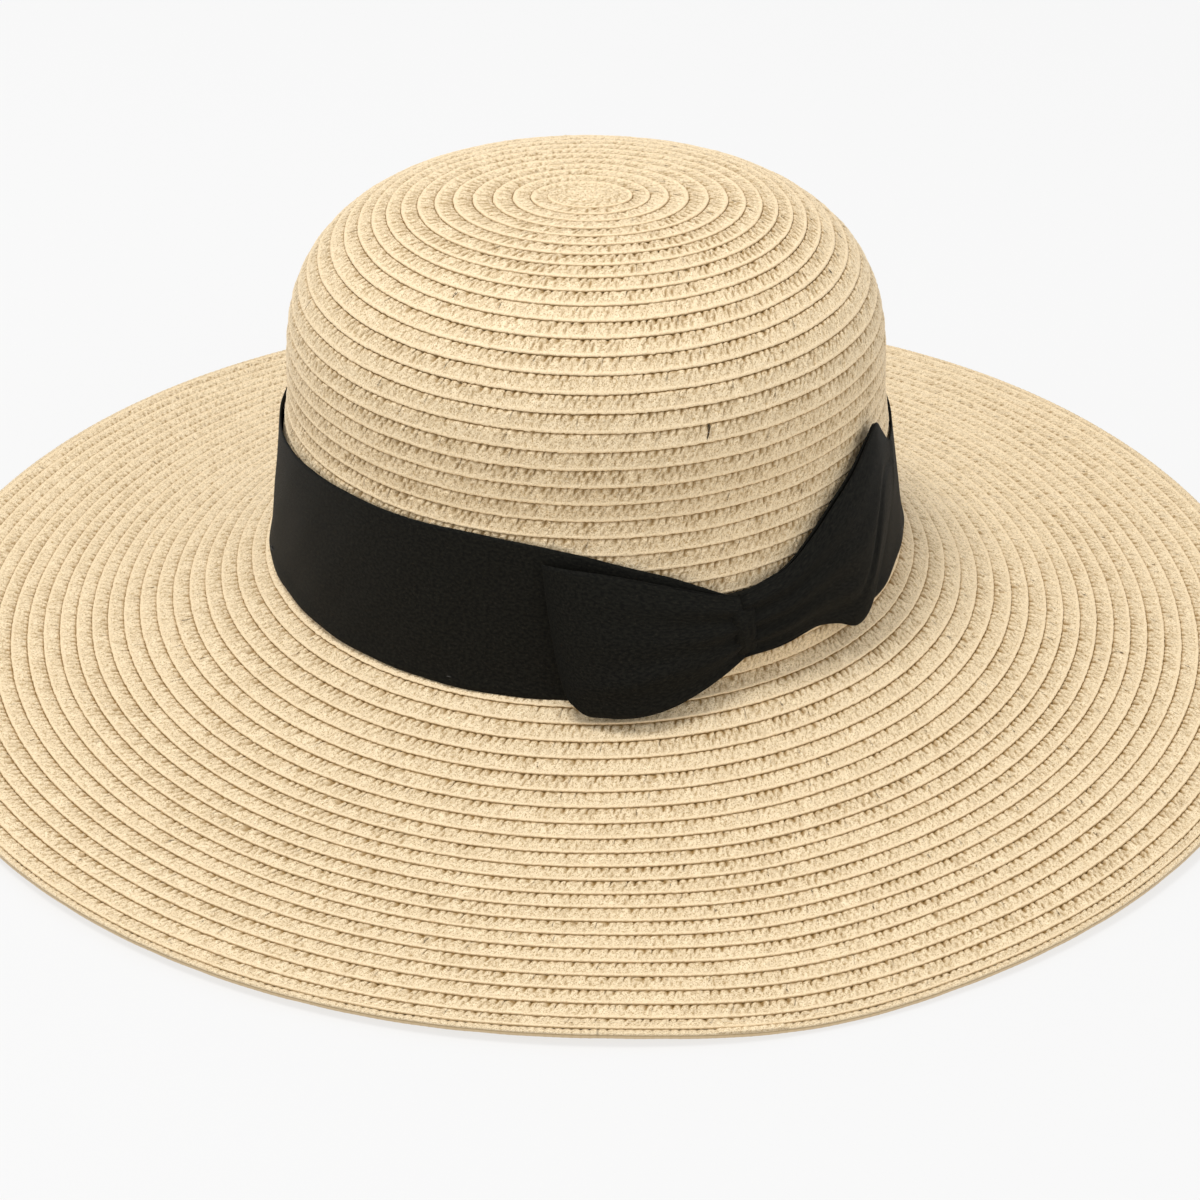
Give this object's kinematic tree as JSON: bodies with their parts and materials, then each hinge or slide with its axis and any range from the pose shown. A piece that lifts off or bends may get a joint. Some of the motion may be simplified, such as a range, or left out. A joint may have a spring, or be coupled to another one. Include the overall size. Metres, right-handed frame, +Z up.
{
  "type": "straw sun hat",
  "caption": "wide-brimmed sun hat of sewn straw braid with a round crown, a black ribbon band tied in a bow, and an inner sweatband",
  "frame": {"origin": "centre of the ring that the brim edge rests on, in the plane of that ring", "axes": "+Z up through the tip of the crown, +X to the wearer's left as the hat is seen from the front, -Y the front"},
  "size_m": [0.4202, 0.4202, 0.1417],
  "materials": {
    "straw": "matte woven paper straw, natural",
    "straw_thread": "fine natural thread",
    "ribbon": "matte black plain weave",
    "ribbon_thread": "black thread",
    "sweatband_tape": "ribbed cream cotton tape",
    "sweatband_trim": "folded cotton binding",
    "sweatband_thread": "cream thread",
    "label_cloth": "blank white satin label"
  },
  "bodies": {
    "root": {"tip_button": "straw", "crown_tip_braid": "straw", "crown_shoulder_braid": "straw", "crown_wall_braid": "straw", "crown_base_braid": "straw", "brim_braid": "straw", "brim_edge_braid": "straw", "brim_edge_underlay": "straw", "braid_tail": "straw", "crown_seam_thread": "straw_thread", "brim_seam_thread": "straw_thread", "edge_topstitch": "straw_thread", "ribbon_band": "ribbon", "bow_left_loop": "ribbon", "bow_right_loop": "ribbon", "bow_knot": "ribbon", "ribbon_tack_stitches": "ribbon_thread", "sweatband": "sweatband_tape", "sweatband_binding": "sweatband_trim", "sweatband_stitching": "sweatband_thread", "sweatband_join_stitches": "sweatband_thread", "care_label": "label_cloth", "size_label": "label_cloth"}
  },
  "joints": []
}
